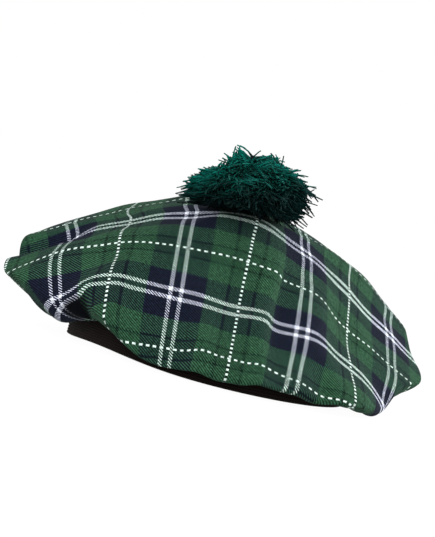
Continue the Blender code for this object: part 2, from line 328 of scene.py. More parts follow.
def smoothstep(t):
    """Rises from 0 to 1 as t does, level at both ends: 3 t squared less 2 t cubed."""
    t = np.clip(t, 0.0, 1.0)
    return t * t * (3.0 - 2.0 * t)


def window(t, span):
    """Rises from 0 to 1 and falls back to 0: begin, full, full until, end."""
    begin, full, until, end = span
    fall = smoothstep((t - until) / (end - until))
    return smoothstep((t - begin) / (full - begin)) * (1.0 - fall)


def section(name):
    """One named column of SECTIONS."""
    return np.array([row[SECTION_COLUMNS.index(name)] for row in SECTIONS], float)


def round_the_cloth(values, degrees):
    """A smooth closed curve through the sections' values.

    It is cubic from one to the next, with a slope at each that comes from both sides.
    """
    knots = section("cloth_deg")
    knots = np.concatenate([knots - 360.0, knots, knots + 360.0])
    values = np.concatenate([values, values, values])
    slopes = np.gradient(values, knots)
    left = np.clip(np.searchsorted(knots, degrees, side="right") - 1, 0, len(knots) - 2)
    span = knots[left + 1] - knots[left]
    t = (degrees - knots[left]) / span
    return ((2 * t**3 - 3 * t**2 + 1) * values[left]
            + (t**3 - 2 * t**2 + t) * span * slopes[left]
            + (3 * t**2 - 2 * t**3) * values[left + 1]
            + (t**3 - t**2) * span * slopes[left + 1])


def meridians(degrees, rings_top, rings_under):
    """Radius, height and cloth distance down each direction, from middle to seam.

    The upper side adds up short steps, each as steep as the sections say. The underside
    is a cubic curve: on over the rim, then in from outside and below to the seam.
    """
    turn, over, out, down = (round_the_cloth(section(n), degrees)
                             for n in ("turn", "over", "out", "down"))
    falls = [round_the_cloth(section(n), degrees) for n in ("s20", "s60", "s100", "s140")]
    falls = np.radians(np.stack([MIDDLE_SLOPE * falls[0]] + falls + [falls[3]]))

    rho = np.linspace(0.0, 1.0, rings_top + 1)[:, None] * turn[None, :]
    rings = np.array(SLOPE_RINGS)
    low = np.clip(np.searchsorted(rings, rho, side="right") - 1, 0, len(rings) - 2)
    part = (rho - rings[low]) / (rings[low + 1] - rings[low])
    column = np.arange(len(degrees))[None, :]
    fall = falls[low, column] * (1.0 - part) + falls[low + 1, column] * part
    middle = (fall[1:] + fall[:-1]) / 2.0
    steps = np.diff(rho, axis=0)
    start = np.zeros((1, len(degrees)))
    radius = np.concatenate([start, np.cumsum(steps * np.cos(middle), axis=0)])
    height = APEX - np.concatenate([start, np.cumsum(steps * np.sin(middle), axis=0)])

    t = np.linspace(0.0, 1.0, rings_under + 1)[1:, None]
    weights = ((1 - t)**3, 3 * t * (1 - t)**2, 3 * t**2 * (1 - t), t**3)
    rim_r = radius[-1] + over * np.cos(fall[-1])
    rim_z = height[-1] - over * np.sin(fall[-1])
    points_r = (radius[-1], rim_r, SEAM_RADIUS + out, SEAM_RADIUS)
    points_z = (height[-1], rim_z, SEAM_HEIGHT - down, SEAM_HEIGHT)
    under_r = sum(w * p for w, p in zip(weights, points_r))
    under_z = sum(w * p for w, p in zip(weights, points_z))
    radius = np.concatenate([radius, under_r])
    height = np.concatenate([height, under_z])
    rises = np.diff(height[rings_top:], axis=0)
    lengths = np.hypot(np.diff(radius[rings_top:], axis=0), rises)
    rho = np.concatenate([rho, rho[-1] + np.cumsum(lengths, axis=0)])
    return radius, height, rho


def fold_lift(across, down, under):
    """How far FOLDS lift each point of the cloth; under runs from 0 to 1 below the rim.

    Along a fold the lift sets in and dies away, and across it is a bell, or for a step a
    smooth jump that fades to both sides.
    """
    lift = np.zeros(across.shape)
    for fold in named_rows(FOLD_COLUMNS, FOLDS):
        dx = fold["end_across"] - fold["start_across"]
        dy = fold["end_down"] - fold["start_down"]
        length = np.hypot(dx, dy)
        ax, ay = dx / length, dy / length
        x = across - fold["start_across"]
        y = down - fold["start_down"]
        along = (x * ax + y * ay) / length
        side = (y * ax - x * ay) / fold["half_width"]
        if fold["kind"] == "run":
            shape = smoothstep(along / RUN_SET_IN) * np.exp(-side**2)
        elif fold["kind"] == "dent":
            shape = window(along, DENT_SPAN) * np.exp(-side**2)
        else:
            fade = np.exp(-(side / STEP_REACH)**2)
            shape = window(along, STEP_SPAN) * np.tanh(side) * fade
        lift += fold["lift"] * shape
    return lift * (1.0 - smoothstep(under))


def wave_lift(across, down):
    """Low sine waves over the flat cloth, one for each row of WAVES."""
    lift = np.zeros(across.shape)
    for wave in named_rows(WAVE_COLUMNS, WAVES):
        heading = np.radians(wave["heading"])
        way = across * np.cos(heading) + down * np.sin(heading)
        lift += wave["height"] * np.sin(2 * np.pi * way / wave["length"] + wave["phase"])
    return lift


def outward(points):
    """Unit normals of the cloth's outer side, on a grid of rows by closed columns.

    The way down the rows crossed with the way round them, and straight up in the middle.
    """
    down_rows = np.gradient(points, axis=0)
    wrapped = np.concatenate([points[:, -1:], points, points[:, :1]], axis=1)
    round_rows = (wrapped[:, 2:] - wrapped[:, :-2]) / 2.0
    normal = np.cross(down_rows, round_rows)
    normal[0] = (0.0, 0.0, 1.0)
    normal /= np.linalg.norm(normal, axis=2, keepdims=True)
    return normal


def pleat_wave(turned, count):
    """Uneven pleats round the edge: a sine whose place and depth vary by slower sines."""
    vary = {"place": 0.0, "depth": MEAN_DEPTH}
    for slow in named_rows(UNEVEN_COLUMNS, UNEVEN):
        sine = np.sin(slow["turns"] * turned + slow["phase"])
        vary[slow["varies"]] = vary[slow["varies"]] + slow["by"] * sine
    return vary["depth"] * np.sin(count * turned + vary["place"])


def crown_surface(around, rings_top, rings_under, pleats, pleat_depth):
    """The crown's outer side in mm from the band's axis, its normals and cloth places.

    The sections give the form, the folds and waves are lifted along the normals of the
    upper side, and the pleats along the underside's own. The places on the cloth, where
    the print is drawn, are moved by a bell round DRAWN_AT.
    """
    even = np.arange(around) * 360.0 / around - 180.0
    degrees = even - np.degrees(CROWD * np.sin(np.radians(even - CROWD_AT)))
    turn = round_the_cloth(section("lies_deg") - section("cloth_deg"), degrees)
    lies = np.radians(degrees + turn)
    radius, height, rho = meridians(degrees, rings_top, rings_under)
    points = np.stack([radius * np.sin(lies), -radius * np.cos(lies), height], axis=2)
    turned = np.radians(degrees)[None, :]
    across, down = rho * np.sin(turned), rho * np.cos(turned)
    under = np.zeros((rings_top + 1 + rings_under, 1))
    under[rings_top:, 0] = np.linspace(0.0, 1.0, rings_under + 1)
    normals = outward(points)
    rise = normals.copy()
    rise[rings_top:] = normals[rings_top - 1]
    room = np.clip(round_the_cloth(section("out"), degrees) / GATHER_ROOM, 0.0, 1.0)
    gather = pleat_depth / MM * room * window(under, GATHER_SPAN)
    waves = wave_lift(across, down) * (1.0 - smoothstep(under))
    points += rise * (fold_lift(across, down, under) + waves)[:, :, None]
    points += normals * (gather * pleat_wave(turned, pleats))[:, :, None]
    far = ((across - DRAWN_AT[0]) / DRAWN_OVER[0])**2
    drawn = np.exp(-far - ((down - DRAWN_AT[1]) / DRAWN_OVER[1])**2)
    return points, outward(points), across + DRAWN[0] * drawn, down + DRAWN[1] * drawn


def headband_surface(band):
    """The headband's corners, rows by closed columns, and what the knit needs of each.

    A closed profile, up the outer wall and down the inner one, is turned round the axis.
    Its ribs are a cosine of the height, its edges are rounded by a quarter ellipse, and
    its lower edge is drawn up by a bell at the left front. The knit needs the way round
    in metres, how deep in a groove a point lies and its height.
    """
    up = np.linspace(0.0, 1.0, band.ribs * ROWS_IN_RIB + 1)
    rounding = 1.0 - np.clip(np.abs(2 * up - 1.0) - EDGE_FROM, 0.0, 1.0) / EDGE_SHARE
    edge = EDGE_DEPTH * (1.0 - np.sqrt(np.clip(1.0 - (1.0 - rounding)**2, 0.0, 1.0)))
    rib = 0.5 - 0.5 * np.cos(2 * np.pi * up * band.ribs)
    depth = band.rib_depth * (1.0 - rib)
    outer = band.radius - edge - depth
    inner = band.radius - band.wall + edge + depth
    radius = np.concatenate([outer, inner[::-1]])[:, None]
    height = np.concatenate([up, up[::-1]])[:, None] * band.height
    groove = np.concatenate([1.0 - rib, (1.0 - rib)[::-1]])[:, None]

    turned = np.arange(band.around)[None, :] * 2 * np.pi / band.around
    degrees = (np.degrees(turned) + 180.0) % 360.0 - 180.0
    lift = LIFT * np.exp(-((degrees - LIFT_AT) / LIFT_SPREAD)**2)
    z = height + lift * (1.0 - height / band.height)
    points = np.stack([radius * np.sin(turned), -radius * np.cos(turned), z], axis=2)
    knit = np.broadcast_arrays(turned * band.radius, groove, height)
    return points + FOOT, np.stack(knit, axis=2)


def crown_height(x, y):
    """Height of the crown under points near its middle, in metres from the band's axis.

    Each point is looked up in a table of the meridians by its direction and distance.
    """
    degrees = np.arange(-180.0, 180.0, LOOKUP_STEP)
    turn = round_the_cloth(section("lies_deg") - section("cloth_deg"), degrees)
    lies = degrees + turn
    radius, height, _ = meridians(degrees, LOOKUP_ROWS, LOOKUP_UNDER)
    radius, height = radius[:LOOKUP_KEPT] * MM, height[:LOOKUP_KEPT] * MM
    way = np.degrees(np.arctan2(x, -y))
    column = np.interp(way, np.concatenate([lies[-1:] - 360.0, lies, lies[:1] + 360.0]),
                       np.arange(-1, len(lies) + 1))
    column = np.rint(column).astype(int) % len(degrees)
    reach = np.hypot(x, y)
    row = (radius[:, column] < reach[None, :]).sum(axis=0)
    row = np.clip(row, 1, len(radius) - 1)
    low_r, high_r = radius[row - 1, column], radius[row, column]
    part = np.clip((reach - low_r) / (high_r - low_r), 0.0, 1.0)
    return height[row - 1, column] * (1 - part) + height[row, column] * part


def outline(table, across):
    """The height in metres that an outline table gives at places across, in metres."""
    points = named_rows(OUTLINE_COLUMNS, table)
    known = np.array([point["across"] for point in points]) * MM
    return np.interp(across, known, np.array([point["up"] for point in points]) * MM)


def pompom_skin(way, pompom):
    """Where the tips end that point along these unit vectors, in metres from its centre.

    Seen from above it is an ellipse that is shallower at its left end. Its height runs
    from BOTTOM to TOP, a half ellipse over and under its girth for every place across,
    and behind its middle it reaches further down, to the crown.
    """
    wide, deep = pompom.reach
    right = way[:, 0] * 0.5 + 0.5
    depth = deep * (SHALLOW_LEFT + (1.0 - SHALLOW_LEFT) * smoothstep(right * DEEPENS))
    x, y = way[:, 0] * wide, way[:, 1] * depth
    top, bottom = outline(TOP, x), outline(BOTTOM, x)
    girth = bottom + (top - bottom) * GIRTH
    bottom = bottom - BACK_DROP * smoothstep(way[:, 1] * DROPS)
    half = np.sqrt(np.clip(1.0 - way[:, 0]**2, LEAST_SQUARE, 1.0))
    reach = np.where(way[:, 2] > 0.0, top - girth, girth - bottom)
    return np.stack([x, y, girth + reach * way[:, 2] / half], axis=1)


def strand_paths(pompom, rng):
    """The path of each strand, points along it from root to tip, and its free tip.

    The tips of the tufts are spread evenly over the skin, turned from one to the next by
    the golden angle, and each tuft starts from another place on the heart, so that the
    tufts lie over each other. A strand is a quadratic curve from its root by a bent
    middle to its tip, droops with the square of its way out, and comes to rest on the
    crown where that is higher. The free tip is where it ends before it droops or rests.
    """
    tufts, strands = pompom.tufts, pompom.strands
    total = tufts * strands
    number = np.arange(tufts) + 0.5
    up = 1.0 - TUFTS_FALL * number / tufts
    golden = np.pi * (3.0 - np.sqrt(5.0)) * number
    level = np.sqrt(1.0 - up**2)
    tuft = np.stack([level * np.sin(golden), -level * np.cos(golden), up], axis=1)

    tip = np.repeat(tuft, strands, axis=0) + rng.normal(0.0, TIP_SPREAD, (total, 3))
    lean = rng.normal(0.0, pompom.lean, (tufts, 3))
    root = np.repeat(tuft + lean, strands, axis=0) + rng.normal(0.0, ROOT_SPREAD, (total, 3))
    tip /= np.linalg.norm(tip, axis=1, keepdims=True)
    root /= np.linalg.norm(root, axis=1, keepdims=True)
    longer = np.repeat(rng.normal(0.0, TUFT_REACH, tufts), strands)
    own = rng.normal(0.0, STRAND_REACH, total)
    longer += own + STRAY_REACH * (rng.random(total) > STRAYS_ABOVE)
    last = pompom_skin(tip, pompom) * (MEAN_REACH + longer)[:, None]
    first = pompom_skin(root, pompom) * pompom.heart
    bend = np.repeat(rng.normal(0.0, TUFT_BEND, (tufts, 3)), strands, axis=0)
    middle = (first + last) / 2.0 * BULGE + bend + rng.normal(0.0, STRAND_BEND, (total, 3))

    t = np.linspace(0.0, 1.0, STRAND_ROWS)[None, :, None]
    path = ((1.0 - t)**2 * first[:, None, :] + 2.0 * t * (1.0 - t) * middle[:, None, :]
            + t**2 * last[:, None, :])
    droop = pompom.droop * (path[:, :, 0]**2 + path[:, :, 1]**2) / pompom.reach[0]**2
    path[:, :, 2] -= droop
    path += np.array(pompom.centre)
    x, y = path[:, :, 0].ravel(), path[:, :, 1].ravel()
    cloth = crown_height(x, y).reshape(total, STRAND_ROWS) + CLEAR
    rest = cloth + PILE * t[:, :, 0] * rng.random((total, 1))
    path[:, :, 2] = np.maximum(path[:, :, 2], rest)
    return path, last


def strand_tubes(pompom, path, rng):
    """Corners of a thin tube round each path, in metres from the band's axis.

    A ring of corners stands across the path at each of its points, and grows narrower
    with the cube of the way along it.
    """
    total = len(path)
    ahead = np.gradient(path, axis=1)
    ahead /= np.linalg.norm(ahead, axis=2, keepdims=True)
    side = np.cross(ahead, rng.normal(0.0, 1.0, (total, 1, 3)))
    side /= np.linalg.norm(side, axis=2, keepdims=True)
    other = np.cross(ahead, side)
    t = np.linspace(0.0, 1.0, STRAND_ROWS)[None, :, None]
    thick = (1.0 - TAPER * t**3) * pompom.strand_width / 2
    thick = (thick * rng.uniform(*WIDTHS, total)[:, None, None])[..., None]
    turns = np.arange(STRAND_SIDES) * 2 * np.pi / STRAND_SIDES
    cosine, sine = np.cos(turns)[:, None], np.sin(turns)[:, None]
    return path[:, :, None, :] + thick * (cosine * side[:, :, None, :]
                                          + sine * other[:, :, None, :])


def pompom_strands(pompom):
    """Corners, quads and triangles of all strands, and what the yarn needs of each corner.

    That is how far along its strand it lies, the strand's tone, from -1 for black to 1
    for light, and the place round the strand. The tone falls towards the underside and
    the right as painted shade, and below 0 under the centre as a painted black shadow.
    """
    rng = np.random.default_rng(SEED)
    total = pompom.tufts * pompom.strands
    shape = (total, STRAND_ROWS, STRAND_SIDES)
    path, last = strand_paths(pompom, rng)
    points = strand_tubes(pompom, path, rng).reshape(-1, 3) + FOOT

    one = ring_faces(STRAND_ROWS, STRAND_SIDES)[:, ::-1]
    corners = STRAND_ROWS * STRAND_SIDES
    step = np.arange(total)[:, None] * corners
    quads = (step[:, :, None] + one[None]).reshape(-1, 4)
    ends = np.array([[0, 1, 2], [corners - 1, corners - 2, corners - 3]])
    triangles = (step[:, :, None] + ends[None]).reshape(-1, 3)

    tone = (np.repeat(rng.random(pompom.tufts), pompom.strands) * TUFT_TONE
            + rng.random(total) * STRAND_TONE)
    # painted shade: the tone darkens towards the underside and the right; painted shadow: tips low
    # under the centre go black
    level = last[:, 2] + pompom.painted_shade_below - pompom.painted_shade_tilt * last[:, 0]
    tone *= smoothstep(level / pompom.painted_shade_over)
    tone -= smoothstep((-SHADOW_BLACK_FROM - last[:, 2]) / (SHADOW_BLACK_BY - SHADOW_BLACK_FROM))
    along = np.broadcast_to(np.linspace(0.0, 1.0, STRAND_ROWS)[None, :, None], shape)
    turn = np.broadcast_to(np.arange(STRAND_SIDES) / STRAND_SIDES, shape)
    facts = np.stack([along, np.broadcast_to(tone[:, None, None], shape), turn], axis=3)
    return points, quads, triangles, facts.reshape(-1, 3)


# ---- meshes ----------------------------------------------------------------------------
def ring_faces(rows, columns, first=0):
    """Quads of a grid whose columns close into a ring, numbered row by row."""
    here = np.arange(columns)
    after = (here + 1) % columns
    top = first + np.arange(rows - 1)[:, None] * columns
    low = top + columns
    return np.stack([top + here, low + here, low + after, top + after], 2).reshape(-1, 4)


def make_mesh(name, points, quads, triangles=()):
    """A named object from whole arrays of corners, quads and triangles."""
    quads = np.asarray(quads, np.int32).reshape(-1, 4)
    triangles = np.asarray(triangles, np.int32).reshape(-1, 3)
    mesh = bpy.data.meshes.new(name)
    mesh.vertices.add(len(points))
    mesh.vertices.foreach_set("co", np.asarray(points, np.float32).ravel())
    corners = np.concatenate([quads.ravel(), triangles.ravel()])
    counts = np.concatenate([np.full(len(quads), 4), np.full(len(triangles), 3)])
    mesh.loops.add(len(corners))
    mesh.loops.foreach_set("vertex_index", corners)
    mesh.polygons.add(len(counts))
    starts = np.concatenate([[0], np.cumsum(counts)[:-1]])
    mesh.polygons.foreach_set("loop_start", starts.astype(np.int32))
    mesh.update(calc_edges=True)
    mesh.validate()
    mesh.shade_smooth()
    piece = bpy.data.objects.new(name, mesh)
    bpy.context.scene.collection.objects.link(piece)
    return piece


def cloth_wall(outer, inner):
    """Corners, quads and triangles of the wall between two grids of rows.

    The first row of a grid is a single point, the crown's middle, which triangles join to
    the next row. The outer side faces out, the inner one in, and quads close the edge.
    """
    corners, quads, caps, edges = [], [], [], []
    count = 0
    for side, grid in ((1, outer), (-1, inner)):
        rows, columns, parts = grid.shape
        first = count + 1 + np.arange(columns)
        cap = np.stack([np.full(columns, count), first, np.roll(first, -1)], axis=1)
        quads.append(ring_faces(rows - 1, columns, count + 1)[:, ::side])
        caps.append(cap[:, ::side])
        corners += [grid[:1, 0], grid[1:].reshape(-1, parts)]
        count += 1 + (rows - 1) * columns
        edges.append(count - columns + np.arange(columns))
    near, far = edges
    quads.append(np.stack([near, far, np.roll(far, -1), np.roll(near, -1)], axis=1))
    return np.concatenate(corners), np.concatenate(quads), np.concatenate(caps)


def give_attribute(piece, name, values):
    """Puts three numbers for each vertex into a named attribute."""
    made = piece.data.attributes.new(name, "FLOAT_VECTOR", "POINT")
    made.data.foreach_set("vector", np.asarray(values, np.float32).ravel())


def dress(piece, surface, node):
    """Gives a piece its material and its body, and hides the solid that it stands for."""
    piece.data.materials.append(surface)
    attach(piece, "root")
    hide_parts(node)


# ---- materials -------------------------------------------------------------------------
class Wiring:
    """Adds nodes to a tree and joins them, so that a formula reads as one line."""

    def __init__(self, tree):
        self.tree = tree

    def node(self, kind, **settings):
        """A new node with some of its settings."""
        made = self.tree.nodes.new(kind)
        for name, value in settings.items():
            setattr(made, name, value)
        return made

    def put(self, socket, value):
        """Feeds a socket from another one, or sets it to a value."""
        if isinstance(value, bpy.types.NodeSocket):
            self.tree.links.new(value, socket)
        else:
            socket.default_value = value

    def maths(self, operation, *values, clamp=False):
        """One step of a sum, by Blender's name for it, kept within 0 and 1 if clamped."""
        made = self.node("ShaderNodeMath", operation=operation, use_clamp=clamp)
        for socket, value in zip(made.inputs, values):
            self.put(socket, value)
        return made.outputs[0]

    def plus(self, first, second):
        return self.maths("ADD", first, second)

    def minus(self, first, second):
        return self.maths("SUBTRACT", first, second)

    def times(self, first, second):
        return self.maths("MULTIPLY", first, second)

    def over(self, first, second):
        return self.maths("DIVIDE", first, second)

    def raised(self, wave, angle):
        """A sine or cosine of an angle, between 0 and 1 in place of -1 and 1."""
        return self.maths("MULTIPLY_ADD", self.maths(wave, angle), 0.5, 0.5)

    def mix(self, share, first, second):
        """The first colour, and that share of the second in its place."""
        made = self.node("ShaderNodeMix", data_type="RGBA")
        self.put(made.inputs["Factor"], share)
        self.put(made.inputs["A"], first)
        self.put(made.inputs["B"], second)
        return made.outputs["Result"]

    def scale(self, colour, factor):
        """A colour made lighter or darker."""
        made = self.node("ShaderNodeVectorMath", operation="SCALE")
        self.put(made.inputs["Vector"], colour)
        self.put(made.inputs["Scale"], factor)
        return made.outputs["Vector"]

    def crest(self, wave, share, edge):
        """1 on the crests of a cosine between 0 and 1, over that share of its length."""
        level = self.raised("COSINE", self.times(share, np.pi))
        return self.maths("MULTIPLY_ADD", self.minus(wave, level), edge, 0.5, clamp=True)

    def stripe(self, place, centre, half, soft):
        """1 within half of centre, 0 outside, with an edge that is soft wide."""
        off = self.maths("ABSOLUTE", self.minus(place, centre))
        return self.maths("MULTIPLY_ADD", self.minus(half, off), 1.0 / soft, 0.5, clamp=True)

    def noise(self, vector, scale):
        """Clouds of that many in a unit of the vector."""
        made = self.node("ShaderNodeTexNoise")
        self.put(made.inputs["Vector"], vector)
        self.put(made.inputs["Scale"], scale)
        self.put(made.inputs["Detail"], FUZZ_DETAIL)
        return made.outputs["Fac"]

    def between(self, value, low, high):
        """Maps 0 to 1 onto low to high."""
        made = self.node("ShaderNodeMapRange")
        self.put(made.inputs["Value"], value)
        self.put(made.inputs["To Min"], low)
        self.put(made.inputs["To Max"], high)
        return made.outputs["Result"]

    def ramp(self, value, span, low=0.0, high=1.0):
        """Goes smoothly from low to high while the value goes over the span."""
        made = self.node("ShaderNodeMapRange", interpolation_type="SMOOTHSTEP")
        self.put(made.inputs["Value"], value)
        for name, number in zip(("From Min", "From Max", "To Min", "To Max"),
                                (*span, low, high)):
            made.inputs[name].default_value = number
        return made.outputs["Result"]

    def attribute(self, name):
        """The piece's own attribute: as a vector, and its three numbers."""
        read = self.node("ShaderNodeAttribute", attribute_name=name)
        split = self.node("ShaderNodeSeparateXYZ")
        self.put(split.inputs[0], read.outputs["Vector"])
        return read.outputs["Vector"], *split.outputs


def opaque(colour):
    """A colour setting as a socket takes it."""
    return (*colour, 1.0)


def new_group(name, inputs, outputs):
    """An empty shader node group with named sockets, its wiring and its two ends."""
    tree = bpy.data.node_groups.new(name, "ShaderNodeTree")
    for direction, sockets in (("INPUT", inputs), ("OUTPUT", outputs)):
        for label, kind in sockets:
            tree.interface.new_socket(label, in_out=direction, socket_type=kind)
    wire = Wiring(tree)
    return wire, wire.node("NodeGroupInput"), wire.node("NodeGroupOutput")


def stripes_group(name):
    """One system of threads: blocks, thin dark lines, double white lines.

    Place is in mm from an even line. Between is the part of its lightness that the ground
    keeps between the dark lines. The other sockets are named as in THREADS. Out come the
    thread's colour, how white it is, whether it is navy, and the distance in mm from the
    nearest even line.
    """
    value, colour = "NodeSocketFloat", "NodeSocketColor"
    wire, start, end = new_group(name, [
        ("Place", value), ("Half Repeat", value), ("Block", value), ("Dark At", value),
        ("Dark Half", value), ("White At", value), ("White Half", value),
        ("Between", value), ("Green", colour), ("Navy", colour), ("Dark", colour)],
        [("Color", colour), ("White", value), ("Is Navy", value), ("From Even", value)])
    given = start.outputs
    even = wire.maths("PINGPONG", given["Place"], given["Half Repeat"])
    odd = wire.minus(given["Half Repeat"], even)
    navy = wire.stripe(even, 0.0, given["Block"], BLOCK_EDGE)
    dark = wire.stripe(odd, given["Dark At"], given["Dark Half"], DARK_EDGE)
    white = wire.stripe(even, given["White At"], given["White Half"], WHITE_EDGE)
    middle = wire.stripe(odd, 0.0, given["Dark At"], DARK_EDGE)
    kept = wire.maths("MULTIPLY_ADD", middle, wire.minus(given["Between"], 1.0), 1.0)
    ground = wire.mix(navy, wire.scale(given["Green"], kept), given["Navy"])
    wire.put(end.inputs["Color"], wire.mix(dark, ground, given["Dark"]))
    wire.put(end.inputs["White"], white)
    wire.put(end.inputs["Is Navy"], navy)
    wire.put(end.inputs["From Even"], even)
    return wire.tree


def twill_group(name):
    """A two and two twill: the rounding of its threads, its ribs and their flanks.

    Across and Down are in mm, and so are the widths of a warp and of a weft thread. Rib is
    a cosine of the place across the ribs, full in the middle of the warp's floats, and
    Flank is the sine, a quarter of a rib beside it. Round is a half sine over the thread
    that lies on top.
    """
    value = "NodeSocketFloat"
    wire, start, end = new_group(name, [
        ("Across", value), ("Down", value), ("Warp Pitch", value), ("Weft Pitch", value)],
        [("Round", value), ("Rib", value), ("Flank", value)])
    given = start.outputs
    warp = wire.over(given["Across"], given["Warp Pitch"])
    weft = wire.over(given["Down"], given["Weft Pitch"])
    warp_round = wire.maths("SINE", wire.times(wire.maths("FRACT", warp), np.pi))
    weft_round = wire.maths("SINE", wire.times(wire.maths("FRACT", weft), np.pi))
    turned = wire.maths("MULTIPLY_ADD", wire.minus(warp, weft), 2 * np.pi / RIB_THREADS,
                        -np.pi / RIB_THREADS)
    picked = wire.node("ShaderNodeMix", data_type="FLOAT")
    on_top = wire.maths("GREATER_THAN", wire.maths("COSINE", turned), 0.0)
    wire.put(picked.inputs["Factor"], on_top)
    wire.put(picked.inputs["A"], weft_round)
    wire.put(picked.inputs["B"], warp_round)
    wire.put(end.inputs["Round"], picked.outputs["Result"])
    wire.put(end.inputs["Rib"], wire.raised("COSINE", turned))
    wire.put(end.inputs["Flank"], wire.raised("SINE", turned))
    return wire.tree


def fuzz_group(name):
    """Cloudy unevenness of dyed yarn: the colour made a little lighter and darker."""
    colour, value = "NodeSocketColor", "NodeSocketFloat"
    wire, start, end = new_group(name, [
        ("Vector", "NodeSocketVector"), ("Scale", value), ("Amount", value),
        ("Color", colour)], [("Color", colour)])
    given = start.outputs
    cloud = wire.noise(given["Vector"], given["Scale"])
    low = wire.minus(1.0, given["Amount"])
    high = wire.plus(1.0, given["Amount"])
    strength = wire.between(cloud, low, high)
    wire.put(end.inputs["Color"], wire.scale(given["Color"], strength))
    return wire.tree


def place_group(wire, name, maker, **values):
    """Puts a group in a material and feeds its sockets, whose names have _ for a space.

    The group is made the first time that it is asked for.
    """
    tree = bpy.data.node_groups.get(name) or maker(name)
    made = wire.node("ShaderNodeGroup", node_tree=tree)
    for label, value in values.items():
        wire.put(made.inputs[label.replace("_", " ")], value)
    return made.outputs


def new_material(name):
    """A material and the wiring of its nodes."""
    made = bpy.data.materials.new(name)
    made.use_nodes = True
    return made, Wiring(made.node_tree)


def finish_material(made, wire, name, colour, vector, height):
    """Joins a colour, clouded by the material's rows of FUZZ, and a relief to the shader.

    The shader's constant numbers are the material's row of FINISHES.
    """
    for fuzz in named_rows(FUZZ_COLUMNS, FUZZ):
        if fuzz["material"] == name:
            colour = place_group(wire, "Fuzz", fuzz_group, Vector=vector, Color=colour,
                                 Scale=fuzz["scale"], Amount=fuzz["amount"])["Color"]
    finish = next(row for row in named_rows(FINISH_COLUMNS, FINISHES)
                  if row["material"] == name)
    shader = made.node_tree.nodes["Principled BSDF"]
    shader.inputs["Roughness"].default_value = finish["roughness"]
    shader.inputs["Specular IOR Level"].default_value = SPECULAR
    shader.inputs["Sheen Weight"].default_value = finish["sheen"]
    shader.inputs["Sheen Roughness"].default_value = finish["sheen_roughness"]
    shader.inputs["Sheen Tint"].default_value = opaque(finish["sheen_tint"])
    bump = wire.node("ShaderNodeBump")
    bump.inputs["Distance"].default_value = finish["relief"]
    bump.inputs["Strength"].default_value = finish["strength"]
    wire.put(bump.inputs["Height"], height)
    wire.put(shader.inputs["Base Color"], colour)
    wire.put(shader.inputs["Normal"], bump.outputs["Normal"])
    return made


def place_threads(wire, name, place, down, cloth):
    """One system of threads, its places in mm from an even line, with its own numbers."""
    threads = next(row for row in named_rows(THREAD_COLUMNS, THREADS) if row["name"] == name)
    white = wire.ramp(down, FRONT_SPAN, threads["white_half"], threads["front_half"])
    return place_group(
        wire, "Thread stripes", stripes_group, Place=place, White_Half=white,
        Half_Repeat=cloth.half_sett / MM, Block=threads["block"], Dark_At=threads["dark_at"],
        Dark_Half=threads["dark_half"], White_At=threads["white_at"], Between=cloth.between,
        Green=opaque(cloth.green), Navy=opaque(cloth.navy), Dark=opaque(cloth.dark))


def dotted_line(wire, threads, along, half_repeat, half_width, step, share):
    """The odd line of a system of threads, and the white dots or dashes along it."""
    odd = wire.minus(half_repeat, threads["From Even"])
    line = wire.stripe(odd, 0.0, half_width, DOT_EDGE)
    dot = wire.maths("FRACT", wire.over(along, step / MM))
    return line, wire.times(line, wire.stripe(dot, 0.5, share / 2, DOT_END))


